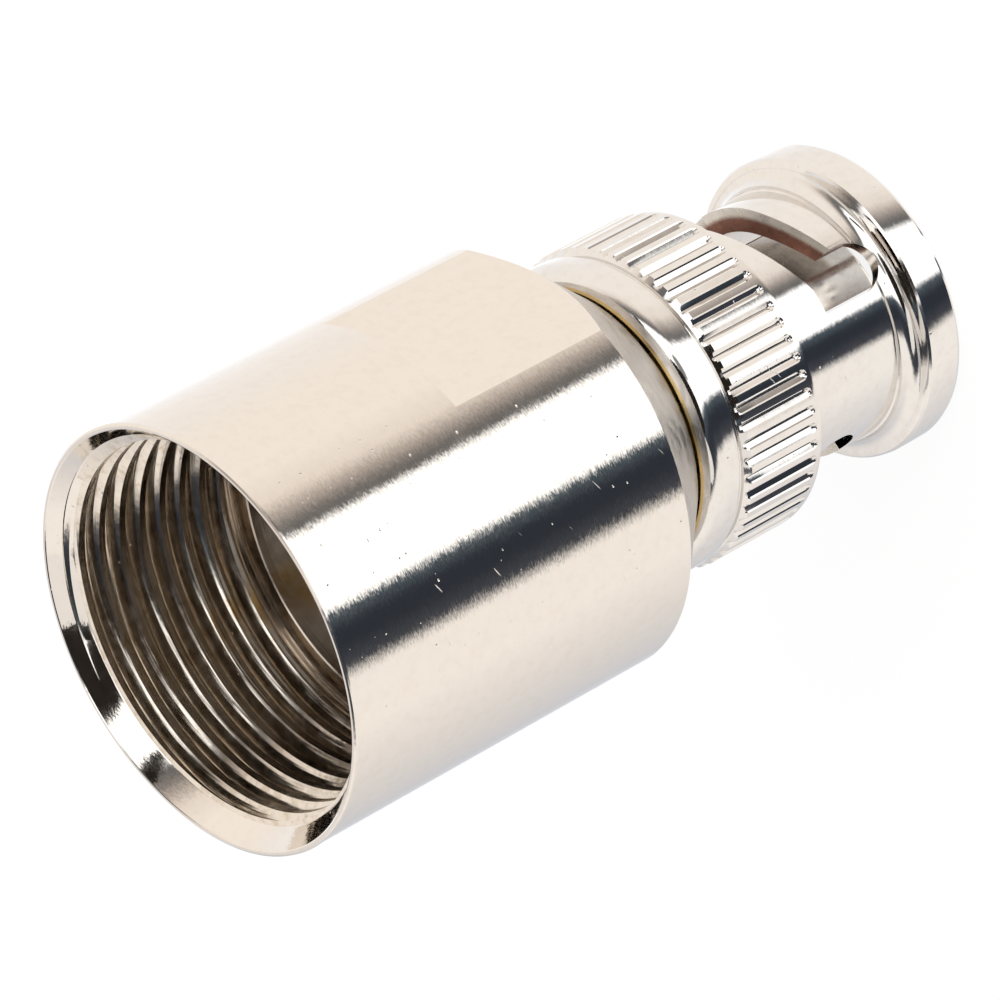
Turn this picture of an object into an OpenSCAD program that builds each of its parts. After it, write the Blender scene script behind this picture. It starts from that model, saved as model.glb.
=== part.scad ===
// Bayonet coaxial plug with a large threaded clamp body.
// It stands on the flange of its coupling sleeve: z = 0 is the mating end, and the cable end is up.

/* [Coupling sleeve] */
// Outer diameter of the flange at the mating end
flange_d = 14.6; // [13.5:0.1:16]
// Height of the flange
flange_h = 1.9; // [1.4:0.1:2.6]
// Radius of the flange's rear edge
flange_edge = 0.3; // [0.1:0.05:0.5]
// Radius of the flange's edge at the mating end
front_edge = 0.15; // [0.1:0.05:0.5]
// Radius of the hollow fillet from the flange to the sleeve
flange_fillet = 0.7; // [0.3:0.1:0.7]
// Outer diameter of the slotted sleeve
sleeve_d = 12.1; // [11.8:0.1:12.5]
// Diameter of the low step beside the flange
step_d = 12.3; // [12.2:0.1:12.8]
// Bore for the mating jack
jack_bore_d = 9.8; // [9.7:0.05:10]
// Height from the mating end to the front of the knurled ring
knurl_z = 9.1; // [8.8:0.1:10]
// Outer diameter over the knurl
knurl_d = 15.4; // [14.8:0.1:16.5]
// Length of the knurled ring
knurl_len = 4.65; // [4:0.05:4.9]
// Radius of the knurled ring's two edges
knurl_edge = 0.25; // [0.1:0.05:0.4]
// Width of the run-out groove between the knurl and the collar
runout_w = 0.35; // [0.2:0.05:0.5]
// Depth of the run-out groove below the collar
runout_depth = 0.2; // [0.1:0.05:0.3]
// Outer diameter of the smooth collar behind the knurl
collar_d = 15; // [14.4:0.1:15.1]
// Overall length of the coupling sleeve
coupling_len = 15.7; // [15.5:0.1:17]
// Radius of the rounded rear edge of the collar
collar_round = 1; // [0.5:0.1:1.2]
// Thickness of the inner lip that carries the coupling on the neck
lip_t = 1.8; // [1.2:0.1:2]

/* [Knurl] */
// Number of flutes round the ring
flute_count = 57; // [40:1:60]
// Diameter of the round-bottomed flutes
flute_d = 0.48; // [0.4:0.02:0.6]
// Depth of the flutes
flute_depth = 0.2; // [0.12:0.02:0.24]

/* [Bayonet] */
// Width of the slots and of the keyways
slot_w = 2.5; // [2.2:0.1:2.7]
// Angle that the slot climbs through, from the keyway to the detent
slot_turn = 93; // [80:1:100]
// Angle of the slot's climbing part, before it runs level to the detent
ramp_turn = 52; // [45:1:75]
// Height of the slot's centre line where it leaves the keyway
slot_z0 = 4.7; // [4.4:0.1:5]
// Height of the slot's centre line at its rear
slot_z1 = 5.9; // [5.6:0.1:6.2]
// How far the detent reaches back towards the flange
detent = 0.2; // [0.1:0.05:0.3]
// Angle of the first keyway
key_angle = -82.5; // [-90:0.5:-70]
// Height of the window's front end above the mating end
window_z = 2.2; // [2.1:0.1:2.6]
// Diameter across the bottoms of the keyways
key_d = 11.2; // [11:0.05:11.4]
// Angle between two steps of the cutter up the ramp
ramp_step = 6; // [4:1:8]

/* [Plug body] */
// Overall length, from the flange to the cable end
overall_len = 39; // [37:0.5:45]
// Outer diameter of the barrel
barrel_d = 20; // [19.5:0.1:22]
// Length of the straight barrel
barrel_len = 19.5; // [18.5:0.1:20]
// Outer diameter of the cone's small end
cone_d = 13.4; // [12:0.1:14.5]
// Width of the groove between the cone and the coupling
groove_w = 0.1; // [0.1:0.05:0.6]
// Diameter of the thrust face that the coupling runs against
thrust_d = 11; // [10:0.1:11.5]
// Depth of the two wrench flats
flat_depth = 0.9; // [0.5:0.1:1.05]
// Length of the wrench flats, from the cone's edge
flats_len = 8.5; // [6:0.1:12]
// Angle of the first flat
flats_angle = -45; // [-180:1:180]
// Step from the contact out to the neck
neck_step = 0.25; // [0.2:0.05:0.3]
// Wall of the neck
neck_wall = 0.7; // [0.6:0.05:0.9]

/* [Cable end] */
// Wall of the barrel outside the thread's crests
mouth_wall = 1.25; // [1.1:0.05:1.8]
// Length of the threaded bore
thread_len = 8.4; // [7:0.1:9]
// Depth of the relief groove at the end of the thread
relief_depth = 0.4; // [0.2:0.05:0.6]
// Width of the relief groove
relief_w = 0.55; // [0.4:0.05:1.5]
// Step from the thread's crests in to the smooth chamber
chamber_step = 0.75; // [0.5:0.05:1.5]
// Depth of the chamber, from the cable end
chamber_depth = 18; // [16:0.1:18.5]
// Width of the rim round the countersunk mouth
rim_w = 0.3; // [0.25:0.05:0.5]
// Depth of the countersink
mouth_depth = 0.95; // [0.6:0.05:1.2]
// Chamfer on the outer edge of the mouth
mouth_edge = 0.12; // [0.05:0.01:0.2]

/* [Spring set] */
// Thickness of the thrust washer
washer_t = 0.45; // [0.3:0.05:0.5]
// Free height of the spring washer
spring_h = 1.45; // [1.3:0.05:1.5]
// Thickness of the spring washer
spring_t = 0.25; // [0.2:0.05:0.3]
// Thickness of the retaining ring
ring_t = 0.55; // [0.4:0.05:0.6]
// Depth of the neck's groove for the retaining ring
ring_groove = 0.45; // [0.2:0.05:0.5]
// Opening of the retaining ring, as an angle
ring_gap = 34; // [20:1:60]
// Thickness of the gasket
gasket_t = 1.05; // [0.8:0.05:1.2]

/* [Contacts] */
// Radial room for the jack's shell, between the slotted contact and the jack bore
shell_room = 0.85; // [0.8:0.01:0.9]
// Wall of the slotted contact
contact_wall = 0.5; // [0.35:0.05:0.55]
// Height of the slotted contact's tip above the mating end
contact_z = 1.2; // [0.8:0.1:2.4]
// Number of slots in the contact
finger_count = 4; // [2:1:8]
// Angle of the first of the contact's slots
finger_angle = -8; // [-45:1:45]
// Width of the contact's slots
finger_slot = 0.45; // [0.3:0.05:0.6]
// Length of the contact's slots
finger_len = 5.6; // [4:0.1:6.5]
// Length of the contact's spigot inside the neck
spigot_len = 3.8; // [2:0.1:4]
// Wall of the spigot
spigot_wall = 0.5; // [0.3:0.05:0.6]
// Diameter of the centre pin's tip
pin_d = 1.36; // [1.32:0.01:1.4]
// Height of the pin's tip above the mating end
pin_z = 2.6; // [2.2:0.1:4]
// Diameter of the pin's shank
shank_d = 2.2; // [1.8:0.1:2.6]
// Height of the solder cup's rim
cup_z = 24.6; // [23:0.1:26]
// Bore of the solder cup
cup_bore_d = 1.5; // [1:0.1:1.6]
// Depth of the solder cup
cup_depth = 3; // [2:0.1:3.5]
// Diameter of the collar that locks the pin between the insulators
pin_collar_d = 3.4; // [2.8:0.1:4]
// Length of the pin's collar
pin_collar_len = 1; // [0.6:0.1:1.4]

/* [Insulators] */
// Height of the front insulator's rim above the mating end
cup_rim_z = 5.2; // [4.5:0.1:7]
// Wall of the front insulator's cup
cup_wall = 1.03; // [0.8:0.01:1.15]
// Height of the cup's floor
cup_floor_z = 9; // [8:0.1:9.5]
// Diameter of the rear insulator's head
head_d = 11; // [9:0.1:12]
// Thickness of the rear insulator's head
head_t = 1.8; // [1:0.1:2.4]

/* [Fits] */
// Radial running clearance of the coupling and the thrust washer on the neck
run_gap = 0.08; // [0.05:0.01:0.1]
// Radial clearance between the jack bore and the rings inside it
ring_clear = 0.12; // [0.08:0.01:0.2]
// Radial clearance of parts that are pushed into one another
seat_gap = 0.02; // [0.01:0.005:0.03]

/* [Hidden] */
$fn = 96;
eps = 0.01;
// How far cutters run past what they cut
over = 1;

// Heights along the plug, from the mating end up
barrel_z = overall_len - barrel_len;
shoulder_z = coupling_len;
cone_z = shoulder_z + groove_w;
lip_z = coupling_len - lip_t;
washer_z = lip_z - washer_t;
ring_z = washer_z - spring_h - ring_t;
gasket_z = ring_z - gasket_t;
neck_z = gasket_z;
spigot_z = neck_z + spigot_len;
collar_z = knurl_z + knurl_len + runout_w;
chamber_z = overall_len - chamber_depth;
thread_z = overall_len - mouth_depth - thread_len;
relief_z = thread_z - relief_w;

// Diameters inside the coupling, from the jack bore inwards
contact_d = jack_bore_d - 2 * shell_room;
neck_d = contact_d + 2 * neck_step;
neck_bore_d = neck_d - 2 * neck_wall;
ring_od = jack_bore_d - 2 * ring_clear;
ring_id = neck_d - 2 * ring_groove + 2 * seat_gap;
spigot_od = neck_bore_d - 2 * seat_gap;
spigot_id = spigot_od - 2 * spigot_wall;
contact_id = contact_d - 2 * contact_wall;
stem_d = spigot_id - 2 * seat_gap;
cup_od = contact_id - 2 * seat_gap;
cup_d = cup_od - 2 * cup_wall;

// Diameters of the cable end, from the barrel inwards
thread_d = barrel_d - 2 * mouth_wall;
relief_d = thread_d + 2 * relief_depth;
chamber_d = thread_d - 2 * chamber_step;
mouth_d = barrel_d - 2 * rim_w;

// Heights inside the contacts
contact_floor_z = neck_z - contact_wall;
pin_collar_z = spigot_z - pin_collar_len;
head_z = chamber_z - head_t;

// A ring between two diameters, from z0 up to z1
module ring(id, od, z0, z1) {
    translate([0, 0, z0])
        difference() {
            cylinder(d = od, h = z1 - z0);
            translate([0, 0, -over]) cylinder(d = id, h = z1 - z0 + 2 * over);
        }
}

// A cone frustum from diameter d0 at z0 to diameter d1 at z1
module frustum(d0, d1, z0, z1) {
    translate([0, 0, z0]) cylinder(d1 = d0, d2 = d1, h = z1 - z0);
}

// A half section in r and z, with its outer corners rounded by r_low and r_high where given
module section(id, od, z0, z1, r_low = 0, r_high = 0) {
    difference() {
        translate([id / 2, z0]) square([(od - id) / 2, z1 - z0]);
        if (r_low > 0)
            translate([od / 2 - r_low, z0 + r_low]) mirror([0, 1]) corner(r_low);
        if (r_high > 0)
            translate([od / 2 - r_high, z1 - r_high]) corner(r_high);
    }
}

// The waste outside a quarter circle of radius r
module corner(r) {
    difference() {
        square(r + eps);
        circle(r);
    }
}

// The hollow fillet between the flange and the low step
module root_fillet() {
    difference() {
        translate([step_d / 2 - eps, flange_h - eps]) square(flange_fillet + eps);
        translate([step_d / 2 + flange_fillet, flange_h + flange_fillet]) circle(flange_fillet);
    }
}

// The coupling as turned, before the slots, keyways and flutes are cut
module coupling_blank() {
    rotate_extrude() {
        section(jack_bore_d, flange_d, 0, flange_h, front_edge, flange_edge);
        section(jack_bore_d, step_d, 0, flange_h + flange_fillet);
        root_fillet();
        section(jack_bore_d, sleeve_d, 0, collar_z);
        section(jack_bore_d, knurl_d, knurl_z, knurl_z + knurl_len, knurl_edge, knurl_edge);
        section(jack_bore_d, collar_d - 2 * runout_depth, knurl_z + knurl_edge, collar_z + eps);
        section(jack_bore_d, collar_d, collar_z, coupling_len, 0, collar_round);
        section(neck_d + 2 * run_gap, sleeve_d, lip_z, coupling_len);
    }
}

// One flute: round-bottomed, ball-ended at the front and open to the run-out groove behind
module flute() {
    flute_r = knurl_d / 2 - flute_depth + flute_d / 2;
    translate([flute_r, 0, knurl_z + knurl_edge + flute_d]) {
        sphere(d = flute_d, $fn = 24);
        cylinder(d = flute_d, h = knurl_len, $fn = 24);
    }
}

// The slot cutter, a round pin through the wall at one angle and height
module slot_pin(angle, z) {
    rotate([0, 0, angle])
        translate([jack_bore_d / 2 - over, 0, z])
            rotate([0, 90, 0])
                cylinder(d = slot_w, h = (flange_d - jack_bore_d) / 2 + 2 * over, $fn = 48);
}

// One bayonet slot with its keyway: window, ramp, level run and detent
module bayonet() {
    steps = ceil(ramp_turn / ramp_step);
    rotate([0, 0, key_angle]) {
        // keyway, open at the mating end
        translate([0, -slot_w / 2, -over]) cube([key_d / 2, slot_w, slot_z0 + over]);
        // window through the wall, from its round front end to its square rear corner
        slot_pin(0, window_z + slot_w / 2);
        translate([jack_bore_d / 2 - over, -slot_w / 2, window_z + slot_w / 2])
            cube([(flange_d - jack_bore_d) / 2 + over, slot_w, slot_z0 - window_z]);
        // ramp, cut step by step
        for (i = [0 : steps])
            slot_pin(ramp_turn * i / steps, slot_z0 + (slot_z1 - slot_z0) * i / steps);
        // level run and detent
        rotate([0, 0, ramp_turn])
            rotate_extrude(angle = slot_turn - ramp_turn)
                translate([jack_bore_d / 2 - over, slot_z1 - slot_w / 2])
                    square([(flange_d - jack_bore_d) / 2 + 2 * over, slot_w]);
        slot_pin(slot_turn, slot_z1);
        slot_pin(slot_turn, slot_z1 - detent);
    }
}

module coupling_sleeve() {
    color("#d9d3ca")
        difference() {
            coupling_blank();
            for (side = [0, 180]) rotate([0, 0, side]) bayonet();
            for (i = [0 : flute_count - 1]) rotate([0, 0, 360 * i / flute_count]) flute();
        }
}

// The two wrench flats, as the waste outside them
module flats_waste() {
    rotate([0, 0, flats_angle])
        for (side = [0, 180])
            rotate([0, 0, side])
                translate([barrel_d / 2 - flat_depth, -barrel_d, cone_z - over])
                    cube([barrel_d, 2 * barrel_d, barrel_z + flats_len - cone_z + over]);
}

module plug_body() {
    color("#d9d3ca")
        difference() {
            union() {
                translate([0, 0, barrel_z]) cylinder(d = barrel_d, h = barrel_len - mouth_edge);
                frustum(barrel_d, barrel_d - 2 * mouth_edge, overall_len - mouth_edge, overall_len);
                frustum(cone_d, barrel_d, cone_z, barrel_z);
                translate([0, 0, shoulder_z]) cylinder(d = thrust_d, h = groove_w + eps);
                translate([0, 0, neck_z]) cylinder(d = neck_d, h = shoulder_z - neck_z + eps);
            }
            flats_waste();
            // cable end: countersink, threaded bore, relief and chamber
            frustum(thread_d, mouth_d, overall_len - mouth_depth, overall_len);
            translate([0, 0, overall_len - eps]) cylinder(d = mouth_d, h = over);
            translate([0, 0, thread_z - eps]) cylinder(d = thread_d, h = thread_len + 2 * eps);
            translate([0, 0, relief_z]) cylinder(d = relief_d, h = relief_w);
            translate([0, 0, chamber_z]) cylinder(d = chamber_d, h = relief_z - chamber_z + eps);
            // seat of the rear insulator and bore of the neck
            translate([0, 0, head_z]) cylinder(d = head_d, h = head_t + eps);
            translate([0, 0, neck_z - over])
                cylinder(d = neck_bore_d, h = head_z - neck_z + over + eps);
            // groove for the retaining ring
            ring(neck_d - 2 * ring_groove, neck_d + over, ring_z, ring_z + ring_t);
        }
}

module thrust_washer() {
    color("#b9b2a4")
        ring(neck_d + 2 * run_gap, ring_od, washer_z, washer_z + washer_t);
}

// A curved spring washer: a flat ring cut from a strip bent to an arc
module spring_washer() {
    rise = spring_h - spring_t;
    r_bend = (rise * rise + ring_od * ring_od / 4) / (2 * rise);
    color("#8f8c86")
        intersection() {
            ring(neck_d + 2 * run_gap, ring_od, washer_z - spring_h - over, washer_z + over);
            translate([0, ring_od, washer_z - spring_t - r_bend])
                rotate([90, 0, 0])
                    linear_extrude(2 * ring_od)
                        difference() {
                            circle(r_bend + spring_t);
                            circle(r_bend);
                        }
        }
}

module retaining_ring() {
    color("#a7a29a")
        rotate([0, 0, ring_gap / 2])
            rotate_extrude(angle = 360 - ring_gap)
                translate([ring_id / 2, ring_z]) square([(ring_od - ring_id) / 2, ring_t]);
}

module gasket() {
    color("#b5322a")
        ring(neck_d + 2 * seat_gap, ring_od, gasket_z, ring_z);
}

// The slotted contact: a tube with spring fingers, a floor and a spigot held in the neck
module outer_contact() {
    color("#c9c2b4")
        difference() {
            union() {
                rotate_extrude()
                    section(contact_id, contact_d, contact_z, neck_z, contact_wall / 2);
                ring(spigot_id, contact_d, contact_floor_z, neck_z);
                ring(spigot_id, spigot_od, neck_z - eps, spigot_z);
            }
            for (i = [0 : finger_count - 1])
                rotate([0, 0, 360 * i / finger_count + finger_angle])
                    translate([0, -finger_slot / 2, contact_z - over])
                        cube([contact_d, finger_slot, finger_len + over]);
        }
}

// The cup round the pin, with a stem through the spigot
module front_insulator() {
    color("#f2f0ea")
        difference() {
            union() {
                translate([0, 0, cup_rim_z]) cylinder(d = cup_od, h = contact_floor_z - cup_rim_z);
                translate([0, 0, contact_floor_z - eps])
                    cylinder(d = stem_d, h = spigot_z - contact_floor_z + eps);
            }
            translate([0, 0, cup_rim_z - over])
                cylinder(d = cup_d, h = cup_floor_z - cup_rim_z + over);
            translate([0, 0, cup_floor_z - over])
                cylinder(d = shank_d + 2 * seat_gap, h = spigot_z - cup_floor_z + 2 * over);
            translate([0, 0, pin_collar_z])
                cylinder(d = pin_collar_d + 2 * seat_gap, h = pin_collar_len + over);
        }
}

// The stepped bush that closes the neck from the cable side
module rear_insulator() {
    color("#f2f0ea")
        difference() {
            union() {
                translate([0, 0, spigot_z]) cylinder(d = spigot_od, h = head_z - spigot_z + eps);
                translate([0, 0, head_z]) cylinder(d = head_d - 2 * seat_gap, h = head_t);
            }
            translate([0, 0, spigot_z - over])
                cylinder(d = shank_d + 2 * seat_gap, h = chamber_z - spigot_z + 2 * over);
        }
}

module centre_pin() {
    color("#d4af5a")
        difference() {
            union() {
                translate([0, 0, pin_z + pin_d / 2]) {
                    sphere(d = pin_d);
                    cylinder(d = pin_d, h = cup_floor_z - pin_z - pin_d / 2 + eps);
                }
                translate([0, 0, cup_floor_z]) cylinder(d = shank_d, h = cup_z - cup_floor_z);
                translate([0, 0, pin_collar_z]) cylinder(d = pin_collar_d, h = pin_collar_len);
            }
            translate([0, 0, cup_z - cup_depth]) cylinder(d = cup_bore_d, h = cup_depth + over);
            // solder window in the side of the cup
            translate([0, -shank_d, cup_z - cup_depth / 2]) cube([shank_d, 2 * shank_d, cup_depth]);
        }
}

plug_body();
coupling_sleeve();
thrust_washer();
spring_washer();
retaining_ring();
gasket();
outer_contact();
front_insulator();
rear_insulator();
centre_pin();
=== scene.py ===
import math
import bpy
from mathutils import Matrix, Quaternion, Vector


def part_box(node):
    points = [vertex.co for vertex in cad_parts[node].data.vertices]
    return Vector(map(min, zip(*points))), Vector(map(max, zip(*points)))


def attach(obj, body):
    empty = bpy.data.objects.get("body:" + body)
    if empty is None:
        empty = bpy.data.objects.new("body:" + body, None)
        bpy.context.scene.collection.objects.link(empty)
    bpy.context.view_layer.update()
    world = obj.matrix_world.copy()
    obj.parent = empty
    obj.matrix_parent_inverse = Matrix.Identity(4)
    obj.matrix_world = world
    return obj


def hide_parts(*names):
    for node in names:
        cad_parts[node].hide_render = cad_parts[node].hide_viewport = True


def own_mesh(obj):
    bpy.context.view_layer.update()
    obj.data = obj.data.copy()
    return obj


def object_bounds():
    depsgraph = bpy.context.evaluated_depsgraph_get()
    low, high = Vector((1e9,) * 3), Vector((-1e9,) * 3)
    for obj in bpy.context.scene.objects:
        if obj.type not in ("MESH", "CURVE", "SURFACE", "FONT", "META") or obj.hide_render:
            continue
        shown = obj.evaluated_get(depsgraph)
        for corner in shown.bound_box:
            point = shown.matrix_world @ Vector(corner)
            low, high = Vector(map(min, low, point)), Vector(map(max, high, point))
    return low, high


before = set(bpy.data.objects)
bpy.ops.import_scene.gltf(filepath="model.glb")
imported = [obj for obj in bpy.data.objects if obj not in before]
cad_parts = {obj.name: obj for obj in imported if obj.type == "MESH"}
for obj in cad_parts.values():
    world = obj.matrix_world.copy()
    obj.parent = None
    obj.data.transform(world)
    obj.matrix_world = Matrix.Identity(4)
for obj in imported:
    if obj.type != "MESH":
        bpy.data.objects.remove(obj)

cad_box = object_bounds()
mm = 0.001

# The view. A long lens looks down at the plug as it stands on its flange, rolled so that the plug lies
# across the picture with its cable end low on the left.
lens_mm = 266.8
aim = Vector((-0.82, 0, 21.86)) * mm
distance = 322.25 * mm
elevation = math.radians(34.38)
roll = math.radians(-118.36)

camera = bpy.data.objects.new("camera", bpy.data.cameras.new("camera"))
bpy.context.scene.collection.objects.link(camera)
bpy.context.scene.camera = camera
back = Vector((0, -math.cos(elevation), math.sin(elevation)))
camera.location = aim + back * distance
camera.rotation_mode = "QUATERNION"
camera.rotation_quaternion = (-back).to_track_quat("-Z", "Y") @ Quaternion((0, 0, 1), roll)
camera.data.lens = lens_mm
camera.data.sensor_width = 36
camera.data.clip_start, camera.data.clip_end = 0.01, 10
bpy.context.scene.view_settings.view_transform = "Standard"

# The light tent. Glossy rays meet a ramp of 24 tints round the plug's axis: warm and cool cloth of uneven
# brightness, one bright softbox and a dark gap on either side of it. All other rays meet plain white.
tent = bpy.data.worlds.new("light_tent")
bpy.context.scene.world = tent
tent.use_nodes = True
nodes, links = tent.node_tree.nodes, tent.node_tree.links
nodes.clear()


def node(tree, kind, **settings):
    """A new node of one kind with its settings and, by name, its unlinked inputs."""
    made = tree.nodes.new(kind)
    for key, value in settings.items():
        if key in made.inputs:
            made.inputs[key].default_value = value
        else:
            setattr(made, key, value)
    return made


def ramp(tree, stops, source):
    """A colour ramp over (place, colour) stops, fed by a socket."""
    made = node(tree, "ShaderNodeValToRGB")
    spots = made.color_ramp.elements
    while len(spots) < len(stops):
        spots.new(0.5)
    for spot, (place, colour) in zip(spots, stops):
        spot.position = place
        spot.color = (*colour, 1)
    tree.links.new(source, made.inputs["Fac"])
    return made.outputs["Color"]


def round_axis(angle):
    """Place on the ramp of the cloth mirrored at this angle round the plug, 90 degrees being nearest."""
    return 0.5 + (93 - angle) / 180


# the bearing of a mirrored ray, drawn together overhead, where the cloth leans in to the camera
direction = node(tent.node_tree, "ShaderNodeTexCoord").outputs["Generated"]
turned_tent = node(tent.node_tree, "ShaderNodeVectorRotate", rotation_type="Z_AXIS", Angle=math.radians(96))
links.new(direction, turned_tent.inputs["Vector"])
bearing = node(tent.node_tree, "ShaderNodeTexGradient", gradient_type="RADIAL")
links.new(turned_tent.outputs[0], bearing.inputs["Vector"])
parts = node(tent.node_tree, "ShaderNodeSeparateXYZ")
links.new(direction, parts.inputs[0])
lean = node(tent.node_tree, "ShaderNodeMapRange")
for socket, value in (("From Min", 0.1), ("From Max", 0.87), ("To Min", 1.0), ("To Max", 0.3)):
    lean.inputs[socket].default_value = value
links.new(parts.outputs["Z"], lean.inputs["Value"])
offset = node(tent.node_tree, "ShaderNodeMath", operation="SUBTRACT")
offset.inputs[1].default_value = 0.5
links.new(bearing.outputs["Fac"], offset.inputs[0])
drawn = node(tent.node_tree, "ShaderNodeMath", operation="MULTIPLY_ADD")
drawn.inputs[2].default_value = 0.5
links.new(offset.outputs[0], drawn.inputs[0])
links.new(lean.outputs["Result"], drawn.inputs[1])

softbox = (1.6, 1.6, 1.6)
cloth = (1.10, 1.05, 1.00)
warm_cloth = (1.10, 1.03, 0.955)
far_cloth = (1.20, 1.25, 1.33)
dusk = (0.033, 0.039, 0.053)
mirrored = ramp(tent.node_tree, [
    (round_axis(183), far_cloth),
    (round_axis(177), (1.05, 1.09, 1.16)),
    (round_axis(173), (0.70, 0.71, 0.75)),
    (round_axis(167), (0.68, 0.69, 0.73)),
    (round_axis(148), (0.885, 0.854, 0.844)),
    (round_axis(138), (1.00, 0.955, 0.93)),
    (round_axis(130), cloth),
    (round_axis(116.5), cloth),
    (round_axis(113.2), (0.07, 0.075, 0.09)),
    (round_axis(108), dusk),
    (round_axis(104), dusk),
    (round_axis(100), (0.088, 0.115, 0.14)),
    (round_axis(98.3), softbox),
    (round_axis(79.5), softbox),
    (round_axis(77.5), (0.15, 0.145, 0.145)),
    (round_axis(75), (0.24, 0.225, 0.215)),
    (round_axis(72), (0.54, 0.475, 0.43)),
    (round_axis(68), (0.98, 0.89, 0.81)),
    (round_axis(60), warm_cloth),
    (round_axis(44), warm_cloth),
    (round_axis(30), (1.07, 1.025, 0.99)),
    (round_axis(18), (1.10, 1.08, 1.075)),
    (round_axis(10), far_cloth),
    (round_axis(3), far_cloth),
], drawn.outputs[0])

# the camera and whoever stands at it, a small dark shape in the tent's opening
opening = Vector((0.12, -0.83, 0.54)).normalized()
towards = node(tent.node_tree, "ShaderNodeVectorMath", operation="DOT_PRODUCT")
towards.inputs[1].default_value = opening
links.new(direction, towards.inputs[0])
blocked = node(tent.node_tree, "ShaderNodeMapRange", interpolation_type="SMOOTHSTEP")
for socket, value in (("From Min", 0.984), ("From Max", 0.992), ("To Max", 0.85)):
    blocked.inputs[socket].default_value = value
links.new(towards.outputs["Value"], blocked.inputs["Value"])
tent_colour = node(tent.node_tree, "ShaderNodeMix", data_type="RGBA")
tent_colour.inputs[7].default_value = (0.06, 0.055, 0.05, 1)
links.new(blocked.outputs["Result"], tent_colour.inputs["Factor"])
links.new(mirrored, tent_colour.inputs[6])
mirrored = tent_colour.outputs[2]
ray = node(tent.node_tree, "ShaderNodeLightPath")
shown = node(tent.node_tree, "ShaderNodeMix", data_type="RGBA")
shown.inputs[6].default_value = (1, 1, 1, 1)
links.new(ray.outputs["Is Glossy Ray"], shown.inputs["Factor"])
links.new(mirrored, shown.inputs[7])
sky = node(tent.node_tree, "ShaderNodeBackground", Strength=1.0)
links.new(shown.outputs[2], sky.inputs["Color"])
links.new(sky.outputs["Background"], node(tent.node_tree, "ShaderNodeOutputWorld").inputs["Surface"])

# The table: plain white, as bright to the camera as the tent behind it, with the plug's soft shadow.
table_size, table_gap = 4, 0.02
bpy.ops.mesh.primitive_plane_add(size=table_size)
table = bpy.context.object
table.name = "table"
for corner in table.data.vertices:
    corner.co.z = cad_box[0].z - table_gap * mm
table.visible_glossy = False
paper = bpy.data.materials.new("table_paper")
table.data.materials.append(paper)
paper.use_nodes = True
paper.cycles.emission_sampling = "NONE"
tree = paper.node_tree
tree.nodes.clear()
matte = node(tree, "ShaderNodeBsdfDiffuse", Color=(0.8, 0.8, 0.8, 1))
white = node(tree, "ShaderNodeEmission", Color=(1, 1, 1, 1), Strength=1.035)
seen = node(tree, "ShaderNodeMixShader")
seen.inputs["Fac"].default_value = 0.85
tree.links.new(matte.outputs[0], seen.inputs[1])
tree.links.new(white.outputs[0], seen.inputs[2])
tree.links.new(seen.outputs[0], node(tree, "ShaderNodeOutputMaterial").inputs["Surface"])

# The softbox over the plug's cable end gives the table its shadow.
lamp = bpy.data.objects.new("softbox", bpy.data.lights.new("softbox", "AREA"))
bpy.context.scene.collection.objects.link(lamp)
lamp.location = (0.25, -0.25, 0.45)
lamp.rotation_mode = "QUATERNION"
lamp.rotation_quaternion = (-lamp.location).to_track_quat("-Z", "Y")
lamp.data.size = 0.4
lamp.data.energy = 1.2
lamp.visible_glossy = False

# Three cards held over the plug's mouth, out of the camera's sight, whose reflections lie on the
# countersink: two dark ones and, beside the wide one, a pale one.
card_distance, card_height = 60 * mm, math.radians(38)
dark_tint, pale_tint = (0.020, 0.016, 0.013), (1.00, 0.96, 0.93)
for name, bearing_angle, width, height, tint in (("wide_card", -104, 58, 54, dark_tint),
                                                 ("narrow_card", -34, 10, 30, dark_tint),
                                                 ("pale_card", -156, 34, 54, pale_tint)):
    across = math.radians(bearing_angle)
    reach = Vector((math.cos(card_height) * math.cos(across), math.cos(card_height) * math.sin(across),
                    math.sin(card_height)))
    bpy.ops.mesh.primitive_circle_add(vertices=64, radius=0.5, fill_type="NGON")
    card = bpy.context.object
    card.name = name
    card.rotation_mode = "QUATERNION"
    card.rotation_quaternion = reach.to_track_quat("-Z", "Y")
    card.scale = (width * mm, height * mm, 1)
    card.location = reach * card_distance + Vector((0, 0, cad_box[1].z))
    card.visible_camera = card.visible_diffuse = card.visible_shadow = False
    paint = bpy.data.materials.new(name)
    card.data.materials.append(paint)
    paint.use_nodes = True
    tree = paint.node_tree
    tree.nodes.clear()
    paint.cycles.emission_sampling = "NONE"
    glow = node(tree, "ShaderNodeEmission", Color=(*tint, 1), Strength=1.0)
    tree.links.new(glow.outputs[0], node(tree, "ShaderNodeOutputMaterial").inputs["Surface"])

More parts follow.
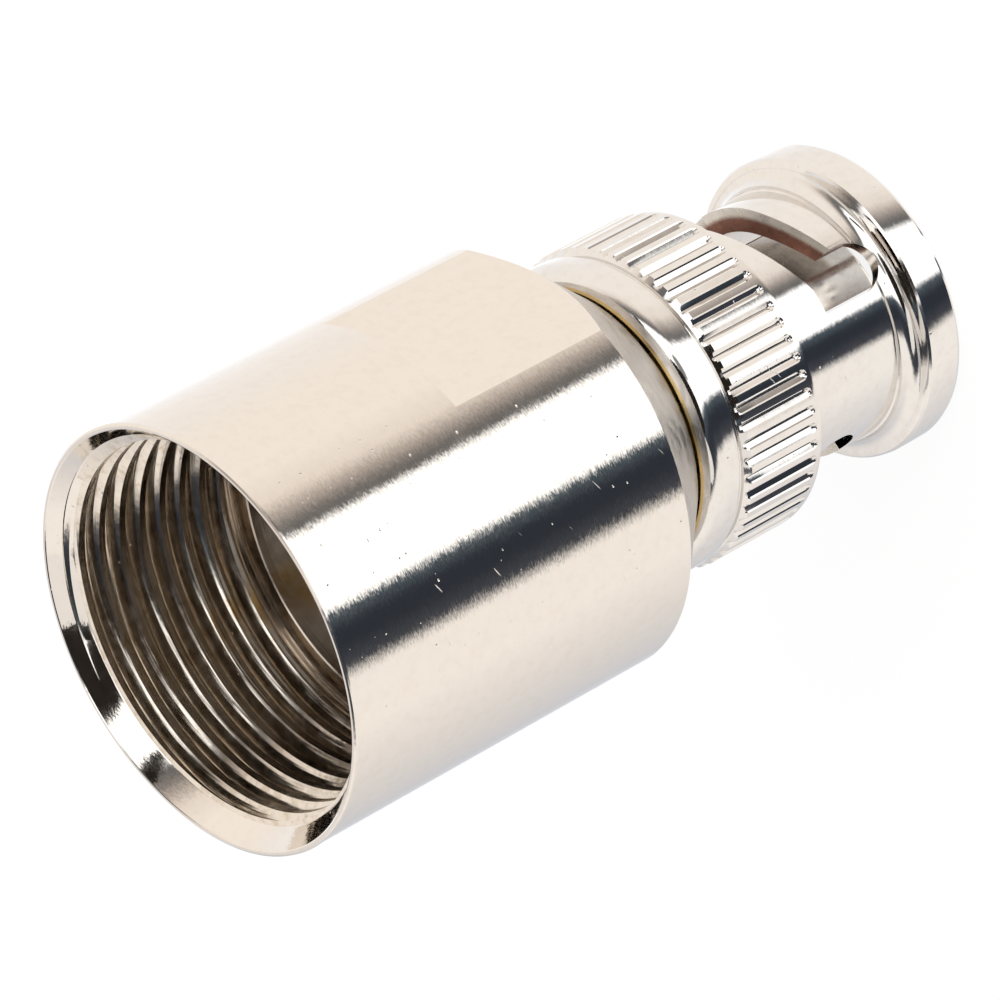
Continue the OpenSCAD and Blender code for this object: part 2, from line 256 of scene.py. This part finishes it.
# The plug body. One bar of brass, turned, bored, screw-cut and milled with two wrench flats, then
# plated with bright nickel. The neck at its front carries the coupling.
mouth_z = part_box("plug_body")[1].z / mm
neck_r, neck_bore_r = 4.3, 3.6
cone_z = 15.8
barrel_r, barrel_z = 10.0, 19.5
chamber_r, chamber_z = 8.0, 21.0
thread_crest_r, thread_root_r = 8.75, 9.33
thread_pitch, thread_turns, thread_start = 1.15, 9, 170
thread_z, relief_z = 29.65, 29.1
body_profile = [
    (neck_bore_r, 10.4), (neck_r, 10.4), (neck_r, 11.45), (3.85, 11.45), (3.85, 12.0), (neck_r, 12.0),
    (neck_r, 15.7), (5.5, 15.7), (5.5, cone_z), (6.66, cone_z), (6.72, 15.84), (6.84, 15.974),
    (9.96, barrel_z - 0.03), (barrel_r, barrel_z + 0.02), (barrel_r, 24), (barrel_r, 30), (barrel_r, 36),
    (barrel_r, mouth_z - 0.12), (9.97, mouth_z - 0.04), (9.88, mouth_z), (9.77, mouth_z),
    (9.72, mouth_z - 0.03), (9.05, mouth_z - 0.93), (9.0, mouth_z - 0.98), (thread_crest_r, mouth_z - 1.02),
    (thread_crest_r, thread_z), (9.2, thread_z - 0.05), (9.2, relief_z + 0.08), (9.12, relief_z),
    (8.06, relief_z), (chamber_r, relief_z - 0.06), (chamber_r, 25), (chamber_r, 21.1), (7.9, chamber_z),
    (5.5, chamber_z), (5.5, 19.2), (neck_bore_r, 19.2),
]


def deselect():
    """Leaves edit mode with nothing selected, so that an operator acts on the new piece alone."""
    if bpy.context.mode != "OBJECT":
        bpy.ops.object.mode_set(mode="OBJECT")
    bpy.ops.object.select_all(action="DESELECT")


def turned(name, profile, sides):
    """A closed ring, drawn out loop by loop along a profile of (radius, height) in mm."""
    deselect()
    radius, height = profile[0]
    bpy.ops.mesh.primitive_circle_add(vertices=sides, radius=radius * mm, location=(0, 0, height * mm))
    piece = bpy.context.object
    piece.name = piece.data.name = name
    bpy.ops.object.transform_apply()
    bpy.ops.object.mode_set(mode="EDIT")
    for next_radius, next_height in profile[1:] + profile[:1]:
        bpy.ops.mesh.extrude_region_move(
            TRANSFORM_OT_translate={"value": (0, 0, (next_height - height) * mm)})
        scale = next_radius / radius
        bpy.ops.transform.resize(value=(scale, scale, 1), center_override=(0, 0, 0))
        radius, height = next_radius, next_height
    bpy.ops.mesh.select_all(action="SELECT")
    bpy.ops.mesh.remove_doubles(threshold=0.001 * mm)
    bpy.ops.mesh.normals_make_consistent(inside=False)
    bpy.ops.object.mode_set(mode="OBJECT")
    return piece


def cut(piece, cutter, **settings):
    """Takes the cutter's solid away from the piece and removes the cutter."""
    bite = piece.modifiers.new("cut", "BOOLEAN")
    bite.operation = "DIFFERENCE"
    bite.solver = "EXACT"
    bite.object = cutter
    for key, value in settings.items():
        setattr(bite, key, value)
    bpy.context.view_layer.objects.active = piece
    bpy.ops.object.modifier_apply(modifier=bite.name)
    bpy.data.objects.remove(cutter)


def finish_edges(piece, angle):
    """Smooth faces with crisp corners wherever the surface turns by more than an angle in degrees."""
    deselect()
    piece.select_set(True)
    bpy.context.view_layer.objects.active = piece
    bpy.ops.object.shade_smooth_by_angle(angle=math.radians(angle))


body = turned("plug_body_shell", body_profile, 360)

# the two wrench flats
flat_x, flat_top, flat_foot = 9.1, 28.0, 15
mill_depth, mill_length = 4, 30
for side in (135, 315):
    deselect()
    bpy.ops.mesh.primitive_cube_add(size=1)
    mill = bpy.context.object
    mill.scale = (mill_depth * mm, mill_length * mm, (flat_top - flat_foot) * mm)
    mill.location = ((flat_x + mill_depth / 2) * mm, 0, (flat_top + flat_foot) / 2 * mm)
    bpy.ops.object.transform_apply()
    mill.rotation_euler.z = math.radians(side)
    bpy.ops.object.transform_apply()
    cut(body, mill)

# the thread, cut by a pointed tool that climbs one pitch a turn
deselect()
bpy.ops.mesh.primitive_circle_add(vertices=6, radius=1 * mm, fill_type="NOTHING")
tool = bpy.context.object
tool_points = [(8.6, -0.49), (9.25, -0.11), (thread_root_r, -0.04),
               (thread_root_r, 0.04), (9.25, 0.11), (8.6, 0.49)]
for corner, (r, z) in zip(tool.data.vertices, tool_points):
    corner.co = (r * mm, 0, z * mm)
turn = tool.modifiers.new("turn", "SCREW")
turn.axis = "Z"
turn.angle = 2 * math.pi
turn.screw_offset = thread_pitch * mm
turn.iterations = thread_turns
turn.steps = turn.render_steps = 180
turn.use_smooth_shade = False
turn.use_merge_vertices = True
turn.merge_threshold = 0.0001 * mm
bpy.ops.object.modifier_apply(modifier=turn.name)
tool.location.z = (thread_z - 0.1) * mm
tool.rotation_euler.z = math.radians(thread_start)
bpy.ops.object.transform_apply()
bpy.ops.object.mode_set(mode="EDIT")
bpy.ops.mesh.select_all(action="SELECT")
bpy.ops.mesh.fill_holes(sides=12)
bpy.ops.mesh.normals_make_consistent(inside=False)
bpy.ops.object.mode_set(mode="OBJECT")
cut(body, tool)
finish_edges(body, 18)
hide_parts("plug_body")
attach(body, "body")


def scaled(tree, source, scales):
    """A vector socket stretched by three factors."""
    made = node(tree, "ShaderNodeVectorMath", operation="MULTIPLY")
    made.inputs[1].default_value = scales
    tree.links.new(source, made.inputs[0])
    return made.outputs[0]


def mapped(tree, source, low, high, to_low, to_high):
    """A value carried smoothly from one range to another."""
    made = node(tree, "ShaderNodeMapRange", interpolation_type="SMOOTHSTEP")
    for socket, value in (("From Min", low), ("From Max", high), ("To Min", to_low), ("To Max", to_high)):
        made.inputs[socket].default_value = value
    tree.links.new(source, made.inputs["Value"])
    return made.outputs["Result"]


def product(tree, first, second):
    """One value times another value or socket."""
    made = node(tree, "ShaderNodeMath", operation="MULTIPLY")
    tree.links.new(first, made.inputs[0])
    if isinstance(second, float):
        made.inputs[1].default_value = second
    else:
        tree.links.new(second, made.inputs[1])
    return made.outputs[0]


def nickel(name, colour, rough, comb, nicks, rings=0.0, stain_depth=1.0):
    """Nickel plate: warm metal with lathe marks, tool rings, scratches and faint stains."""
    made = bpy.data.materials.new(name)
    made.use_nodes = True
    tree = made.node_tree
    metal = tree.nodes["Principled BSDF"]
    metal.inputs["Metallic"].default_value = 1.0
    place = node(tree, "ShaderNodeTexCoord").outputs["Object"]

    # lathe marks: short hairs that lean the surface round the axis
    hair_scale = (4600, 4600, 17000)
    streaks = node(tree, "ShaderNodeTexNoise", Scale=1.0, Detail=3.0, Roughness=0.7)
    tree.links.new(scaled(tree, place, hair_scale), streaks.inputs["Vector"])
    swing = node(tree, "ShaderNodeMath", operation="SUBTRACT")
    swing.inputs[1].default_value = 0.5
    tree.links.new(streaks.outputs["Fac"], swing.inputs[0])
    tangent = node(tree, "ShaderNodeVectorMath", operation="CROSS_PRODUCT")
    tangent.inputs[0].default_value = (0, 0, 1)
    tree.links.new(place, tangent.inputs[1])
    unit = node(tree, "ShaderNodeVectorMath", operation="NORMALIZE")
    tree.links.new(tangent.outputs[0], unit.inputs[0])
    tilt = node(tree, "ShaderNodeVectorMath", operation="SCALE")
    tree.links.new(unit.outputs[0], tilt.inputs[0])
    tree.links.new(product(tree, swing.outputs[0], comb), tilt.inputs["Scale"])
    facing = node(tree, "ShaderNodeVectorMath", operation="ADD")
    tree.links.new(node(tree, "ShaderNodeNewGeometry").outputs["Normal"], facing.inputs[0])
    tree.links.new(tilt.outputs[0], facing.inputs[1])

    # tool rings: fine turns that lean the surface along the axis
    leaning = facing.outputs[0]
    ring_scale = (60, 60, 9000)
    if rings:
        turns = node(tree, "ShaderNodeTexNoise", Scale=1.0, Detail=4.0, Roughness=0.75)
        tree.links.new(scaled(tree, place, ring_scale), turns.inputs["Vector"])
        nod = node(tree, "ShaderNodeMath", operation="SUBTRACT")
        nod.inputs[1].default_value = 0.5
        tree.links.new(turns.outputs["Fac"], nod.inputs[0])
        upright = node(tree, "ShaderNodeCombineXYZ")
        tree.links.new(product(tree, nod.outputs[0], rings), upright.inputs["Z"])
        nodded = node(tree, "ShaderNodeVectorMath", operation="ADD")
        tree.links.new(leaning, nodded.inputs[0])
        tree.links.new(upright.outputs[0], nodded.inputs[1])
        leaning = nodded.outputs[0]
    level = node(tree, "ShaderNodeVectorMath", operation="NORMALIZE")
    tree.links.new(leaning, level.inputs[0])
    top = level.outputs[0]

    # scratches of mixed length, and fine pits: their turn, stretch, size and share of the cells
    pit_depth = 0.00003
    marks = ((0.5, (520, 520, 7500), 0.15, 0.55), (0.2, (3400, 3400, 3800), 0.20, 1.2))
    for turn, stretch, size, share in marks if nicks else ():
        swung = node(tree, "ShaderNodeVectorRotate", rotation_type="Y_AXIS", Angle=turn)
        tree.links.new(place, swung.inputs["Vector"])
        cells = node(tree, "ShaderNodeTexVoronoi", Scale=1.0)
        tree.links.new(scaled(tree, swung.outputs[0], stretch), cells.inputs["Vector"])
        chosen = node(tree, "ShaderNodeSeparateColor")
        tree.links.new(cells.outputs["Color"], chosen.inputs[0])
        spread = mapped(tree, chosen.outputs[1], 0.0, 1.0, 0.7, 2.8)
        near = mapped(tree, product(tree, cells.outputs["Distance"], spread), 0.0, size, 1.0, 0.0)
        kept = mapped(tree, chosen.outputs[0], 1 - nicks * share, 1.001 - nicks * share, 0.0, 1.0)
        pit = node(tree, "ShaderNodeBump", invert=True, Strength=0.6, Distance=pit_depth)
        tree.links.new(product(tree, near, kept), pit.inputs["Height"])
        tree.links.new(top, pit.inputs["Normal"])
        top = pit.outputs["Normal"]
    tree.links.new(top, metal.inputs["Normal"])

    # faint stains and a haze of wear
    stain = node(tree, "ShaderNodeTexNoise", Scale=1900.0, Detail=3.0, Roughness=0.6)
    tree.links.new(place, stain.inputs["Vector"])
    stain_tint, shine = (0.035, 0.045, 0.06), 0.015
    worn = tuple(c * (1 - stain_depth * f) for c, f in zip(colour, stain_tint))
    clean = tuple(c * (1 + shine * stain_depth) for c in colour)
    tree.links.new(ramp(tree, [(0.33, worn), (0.5, colour), (0.68, clean)], stain.outputs["Fac"]),
                   metal.inputs["Base Color"])
    haze = node(tree, "ShaderNodeTexNoise", Scale=1500.0, Detail=2.0)
    tree.links.new(place, haze.inputs["Vector"])
    tree.links.new(mapped(tree, haze.outputs["Fac"], 0.3, 0.7, rough * 0.75, rough * 1.35),
                   metal.inputs["Roughness"])
    return made


nickel_tone = (0.80, 0.755, 0.70)
body_plate = nickel("bright_nickel_body", nickel_tone, 0.075, 0.10, 0.11, stain_depth=0.6)
matte_cone = nickel("blasted_nickel_cone", (0.66, 0.62, 0.575), 0.42, 0.05, 0.0, rings=0.25)
# the cone's foot by the collar is painted gold-brown: a painted reflection of the gap between collar and
# cone
painted_reflection_line = nickel("painted_gold_reflection", (0.60, 0.44, 0.20), 0.30, 0.02, 0.0)
thread_plate = nickel("screw_cut_nickel", (0.74, 0.68, 0.605), 0.13, 0.05, 0.03, rings=0.9, stain_depth=4.0)
# the chamber's bore is painted dark brown: painted shade deep in the mouth, on bored nickel
chamber_painted_shade = nickel("bored_nickel_painted_shade", (0.46, 0.40, 0.34), 0.20, 0.04, 0.0, rings=0.1)
body.data.materials.clear()
for plate in (body_plate, matte_cone, painted_reflection_line, thread_plate, chamber_painted_shade):
    body.data.materials.append(plate)
on_cone, on_reflection_line, on_thread, on_painted_shade = 1, 2, 3, 4
thread_foot, thread_top = thread_z - 0.45, mouth_z - 0.96
# faces take their finish by place: the cone's foot gets the painted reflection line, the chamber's bore its
# painted shade
for face in body.data.polygons:
    r = math.hypot(face.center.x, face.center.y) / mm
    z = face.center.z / mm
    if 15.79 < z < 15.99 and 5.6 < r < 6.86:
        face.material_index = on_reflection_line
    elif 15.79 < z < barrel_z - 0.01 and 6.7 < r < 9.99 and face.normal.z < -0.3:
        face.material_index = on_cone
    if r < 9.5 and thread_foot < z < thread_top:
        face.material_index = on_thread
    elif (r < 8.5 and 19 < z < relief_z) or (r < 9.3 and relief_z - 0.02 < z <= thread_foot):
        face.material_index = on_painted_shade

# The pieces in and on the neck: a slotted outer contact, two bushes of white fluoropolymer, a gold-plated
# pin that runs through them to its solder cup, and the gasket, retaining ring and thrust washer.
contact_plate = nickel("bright_nickel_contact", (0.74, 0.69, 0.63), 0.22, 0.02, 0.0)


def dress(part, finish):
    """Gives a piece of the frame one material in place of its own."""
    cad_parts[part].data.materials.clear()
    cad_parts[part].data.materials.append(finish)


def plain(name, colour, rough, metallic=0.0, grain_depth=0.02):
    """A plain surface with a fine uneven grain."""
    made = bpy.data.materials.new(name)
    made.use_nodes = True
    tree = made.node_tree
    shader = tree.nodes["Principled BSDF"]
    shader.inputs["Metallic"].default_value = metallic
    place = node(tree, "ShaderNodeTexCoord").outputs["Object"]
    grain = node(tree, "ShaderNodeTexNoise", Scale=3000.0, Detail=4.0)
    tree.links.new(place, grain.inputs["Vector"])
    shade = 0.88
    dark = tuple(c * shade for c in colour)
    tree.links.new(ramp(tree, [(0.35, dark), (0.65, colour)], grain.outputs["Fac"]),
                   shader.inputs["Base Color"])
    spread = node(tree, "ShaderNodeMapRange")
    spread.inputs["To Min"].default_value = rough * 0.85
    spread.inputs["To Max"].default_value = rough * 1.15
    tree.links.new(grain.outputs["Fac"], spread.inputs["Value"])
    tree.links.new(spread.outputs["Result"], shader.inputs["Roughness"])
    bump = node(tree, "ShaderNodeBump", Strength=0.3, Distance=grain_depth * mm)
    tree.links.new(grain.outputs["Fac"], bump.inputs["Height"])
    tree.links.new(bump.outputs["Normal"], shader.inputs["Normal"])
    return made


fluoropolymer = plain("white_fluoropolymer", (0.86, 0.85, 0.82), 0.45)
gold = plain("gold_plate", (0.95, 0.70, 0.30), 0.18, metallic=1.0, grain_depth=0.004)
gasket_red = plain("red_silicone", (0.90, 0.07, 0.03), 0.35)
spring = plain("rolled_spring_steel", (0.52, 0.50, 0.47), 0.28, metallic=1.0)
brass = plain("turned_brass", (0.80, 0.62, 0.34), 0.25, metallic=1.0)
for part, finish in (("outer_contact", contact_plate), ("front_insulator", fluoropolymer),
                     ("rear_insulator", fluoropolymer), ("centre_pin", gold), ("gasket", gasket_red),
                     ("retaining_ring", spring), ("thrust_washer", brass)):
    dress(part, finish)

# The spring washer. A flat ring bent to an arc; it is squeezed between the retaining ring and the thrust
# washer when the coupling is pulled.
spring_low, spring_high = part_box("spring_washer")
spring_in, spring_out, spring_t = 4.38, spring_high.y / mm, 0.25
spring_top = spring_high.z / mm
spring_rise = spring_top - spring_low.z / mm - spring_t
wave = turned("spring_washer_arc", [
    (spring_in, spring_top - spring_t), (spring_out, spring_top - spring_t),
    (spring_out, spring_top), (spring_in, spring_top)], 96)
for vertex in wave.data.vertices:
    vertex.co.z -= spring_rise * (vertex.co.x / (spring_out * mm)) ** 2 * mm
finish_edges(wave, 30)
wave.data.materials.append(spring)
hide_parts("spring_washer")
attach(wave, "body")
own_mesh(wave)

# The coupling sleeve. One nickel-plated brass turning that spins on the neck: a flange, two bayonet
# slots with their keyways, and a ring of V-shaped flutes for the fingers.
bore_r, lip_r = 4.9, 4.38
flange_r, flange_z = 7.3, 1.9
tube_r, knurl_r = 6.05, 7.7
groove_r, groove_z = 7.3, 13.8
sleeve_profile = [
    (bore_r, 0), (7.15, 0), (7.26, 0.04), (flange_r, 0.15), (flange_r, 1.6), (7.26, 1.77),
    (7.17, 1.87), (7.03, flange_z),
]
fillet_r, fillet_from, fillet_steps = 0.7, 6.15, 10
for step in range(fillet_steps + 1):
    angle = math.radians(90 * step / fillet_steps)
    sleeve_profile.append((fillet_from + fillet_r * (1 - math.sin(angle)),
                           flange_z + fillet_r * (1 - math.cos(angle))))
sleeve_profile += [
    (fillet_from, 2.66), (tube_r, 2.7), (tube_r, 4), (tube_r, 6.5), (tube_r, 9.04), (6.1, 9.09),
    (7.45, 9.09), (7.6, 9.13), (7.68, 9.2), (knurl_r, 9.3), (knurl_r, 9.4),
]
flute_half, flute_lip, flute_tip, tip_steps = 0.26, 0.8, 9.45, 6
lip_slope, flank_slope = math.tan(math.radians(50)), math.tan(math.radians(35))
for step in range(tip_steps + 1):
    angle = math.radians(90 * step / tip_steps)
    sleeve_profile.append((knurl_r, flute_tip + flute_half * (1 - math.cos(angle))))
sleeve_profile += [
    (knurl_r, 10.4), (knurl_r, 11.5), (knurl_r, 12.5), (knurl_r, 13.5), (7.6, 13.6), (7.5, 13.7),
    (7.44, 13.76), (7.32, groove_z), (groove_r, 13.84), (groove_r, 14.0), (7.32, 14.05), (7.46, 14.1),
    (7.5, 14.14),
]
round_r, round_z, round_steps = 6.5, 14.7, 12
for step in range(round_steps + 1):
    angle = math.radians(90 * step / round_steps)
    sleeve_profile.append((round_r + math.cos(angle), round_z + math.sin(angle)))
sleeve_profile += [(4.42, 15.7), (lip_r, 15.66), (lip_r, 13.9), (bore_r, 13.9), (bore_r, 9), (bore_r, 5)]

flute_count = 57
steps_a_flute = 12
sleeve = turned("coupling_sleeve_shell", sleeve_profile, flute_count * steps_a_flute)

# the flutes: V-shaped with a steeper lip, round at the flange's end, and run out through the ring's rear
# chamfer; the mesh's columns are drawn to their edges
pitch = 2 * math.pi * knurl_r / flute_count
edge_column = 3
for vertex in sleeve.data.vertices:
    r = math.hypot(vertex.co.x, vertex.co.y) / mm
    z = vertex.co.z / mm
    if r < 7.4 or not flute_tip - 0.001 < z < groove_z:
        continue
    turns = math.atan2(vertex.co.y, vertex.co.x) * flute_count / (2 * math.pi)
    flute = round(turns)
    column = round((turns - flute) * steps_a_flute)
    lead = max(0, flute_tip + flute_half - z)
    edge = math.sqrt(max(0, flute_half ** 2 - lead ** 2))
    if abs(column) <= edge_column:
        across = edge * (0, flute_lip / 2, flute_lip, 1)[abs(column)]
    else:
        across = edge + (pitch / 2 - edge) * (abs(column) - edge_column) / edge_column
    reach = min(1, math.hypot(across, lead) / flute_half)
    sunk = (1 - max(reach, flute_lip)) * lip_slope + max(0, flute_lip - reach) * flank_slope
    r = min(r, knurl_r - sunk * flute_half)
    angle = (flute + math.copysign(across / pitch, column)) * 2 * math.pi / flute_count
    vertex.co.x = r * math.cos(angle) * mm
    vertex.co.y = r * math.sin(angle) * mm

slot_w, slot_r0, slot_r1 = 2.5, 4.2, 7.0
slot_z0, slot_z1, ramp_turn, slot_turn = 4.7, 5.9, 52, 93
slot_mid_r, slot_depth, detent, ramp_steps = 5.6, 2.8, 0.2, 46
key_angle, key_half, key_r = -82.5, 12, 5.6
window_z = 2.2 + slot_w / 2


def slot_centre(turn):
    """Height of the slot's centre line, by the angle past its keyway."""
    climb = min(1, turn / ramp_turn)
    return slot_z0 + (slot_z1 - slot_z0) * math.sin(climb * math.pi / 2)


for side in (0, 180):
    start = key_angle + side
    key_turn = math.radians(start)
    # the ramp: a radial slab carried round the axis and up its slope
    deselect()
    bpy.ops.mesh.primitive_plane_add(size=1)
    slab = bpy.context.object
    corners = [(slot_r0, -1), (slot_r1, -1), (slot_r0, 1), (slot_r1, 1)]
    for vertex, (corner_r, up) in zip(slab.data.vertices, corners):
        r = corner_r * mm
        z = (slot_centre(0) + up * slot_w / 2) * mm
        vertex.co = (r * math.cos(key_turn), r * math.sin(key_turn), z)
    bpy.ops.object.mode_set(mode="EDIT")
    bpy.ops.mesh.select_all(action="SELECT")
    for step in range(ramp_steps):
        rise = (slot_centre(slot_turn * (step + 1) / ramp_steps)
                - slot_centre(slot_turn * step / ramp_steps))
        bpy.ops.mesh.extrude_region_move(TRANSFORM_OT_translate={"value": (0, 0, rise * mm)})
        bpy.ops.transform.rotate(value=-math.radians(slot_turn / ramp_steps), orient_axis="Z",
                                 center_override=(0, 0, 0))
    bpy.ops.mesh.select_all(action="SELECT")
    bpy.ops.mesh.normals_make_consistent(inside=False)
    bpy.ops.object.mode_set(mode="OBJECT")
    cut(sleeve, slab)
    # round ends: the detent, and the front of the window over the keyway
    for turn, height in ((slot_turn, slot_centre(slot_turn)), (slot_turn, slot_centre(slot_turn) - detent),
                         (0, window_z)):
        deselect()
        bpy.ops.mesh.primitive_cylinder_add(vertices=96, radius=slot_w / 2 * mm, depth=slot_depth * mm)
        drill = bpy.context.object
        drill.rotation_euler = (0, math.radians(90), 0)
        bpy.ops.object.transform_apply()
        drill.location = (slot_mid_r * mm, 0, height * mm)
        bpy.ops.object.transform_apply()
        drill.rotation_euler.z = math.radians(start + turn)
        bpy.ops.object.transform_apply()
        cut(sleeve, drill)
    # the window's straight sides, and the keyway that runs out through the flange
    for r0, r1, z0, z1 in ((slot_r0, slot_r1, window_z, slot_z0 + slot_w / 2),
                           (slot_r0, key_r, -1, slot_z0)):
        deselect()
        bpy.ops.mesh.primitive_cube_add(size=1)
        box = bpy.context.object
        box.scale = ((r1 - r0) * mm, slot_w * mm, (z1 - z0) * mm)
        box.location = ((r0 + r1) / 2 * mm, 0, (z0 + z1) / 2 * mm)
        bpy.ops.object.transform_apply()
        box.rotation_euler.z = key_turn
        bpy.ops.object.transform_apply()
        cut(sleeve, box)

finish_edges(sleeve, 14)
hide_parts("coupling_sleeve")
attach(sleeve, "coupling")

# the outer skin is bright, and the slots' walls are painted dark red-brown, painted shade with a painted
# red reflection, up to a bright rim
sleeve_plate = nickel("bright_nickel_sleeve", (0.785, 0.763, 0.735), 0.075, 0.055, 0.06)
slot_wall_shade = nickel("slot_wall_painted_shade", (0.26, 0.12, 0.085), 0.32, 0.05, 0.0, stain_depth=4.0)
tree = slot_wall_shade.node_tree
slot_shader = tree.nodes["Principled BSDF"]
slot_shader.inputs["Metallic"].default_value = 0.6
# the painted shade's dark red-brown tone, mixed out to the bright rim towards the outside
painted_shade_tone = slot_shader.inputs["Base Color"].links[0].from_socket
spot = node(tree, "ShaderNodeVectorMath", operation="LENGTH")
tree.links.new(scaled(tree, node(tree, "ShaderNodeTexCoord").outputs["Object"], (1, 1, 0)), spot.inputs[0])
shade_to_rim = node(tree, "ShaderNodeMix", data_type="RGBA")
shade_to_rim.inputs[7].default_value = (0.78, 0.72, 0.64, 1)
rim_from, rim_to = 5.45 * mm, 5.75 * mm
tree.links.new(mapped(tree, spot.outputs["Value"], rim_from, rim_to, 0.0, 1.0), shade_to_rim.inputs["Factor"])
tree.links.new(painted_shade_tone, shade_to_rim.inputs[6])
tree.links.new(shade_to_rim.outputs[2], slot_shader.inputs["Base Color"])
sleeve.data.materials.clear()
sleeve.data.materials.append(sleeve_plate)
sleeve.data.materials.append(slot_wall_shade)
on_shaded_wall = 1
# the slots' walls take the painted shade
for face in sleeve.data.polygons:
    r = math.hypot(face.center.x, face.center.y) / mm
    from_key = math.degrees(math.atan2(face.center.y, face.center.x)) - key_angle
    from_key = (from_key + key_half) % 180 - key_half
    in_shaded_wall = 4.91 < r < 6.02 and 0.5 < face.center.z / mm < 7.2
    if in_shaded_wall and from_key > key_half and face.normal.z > -0.5:
        face.material_index = on_shaded_wall
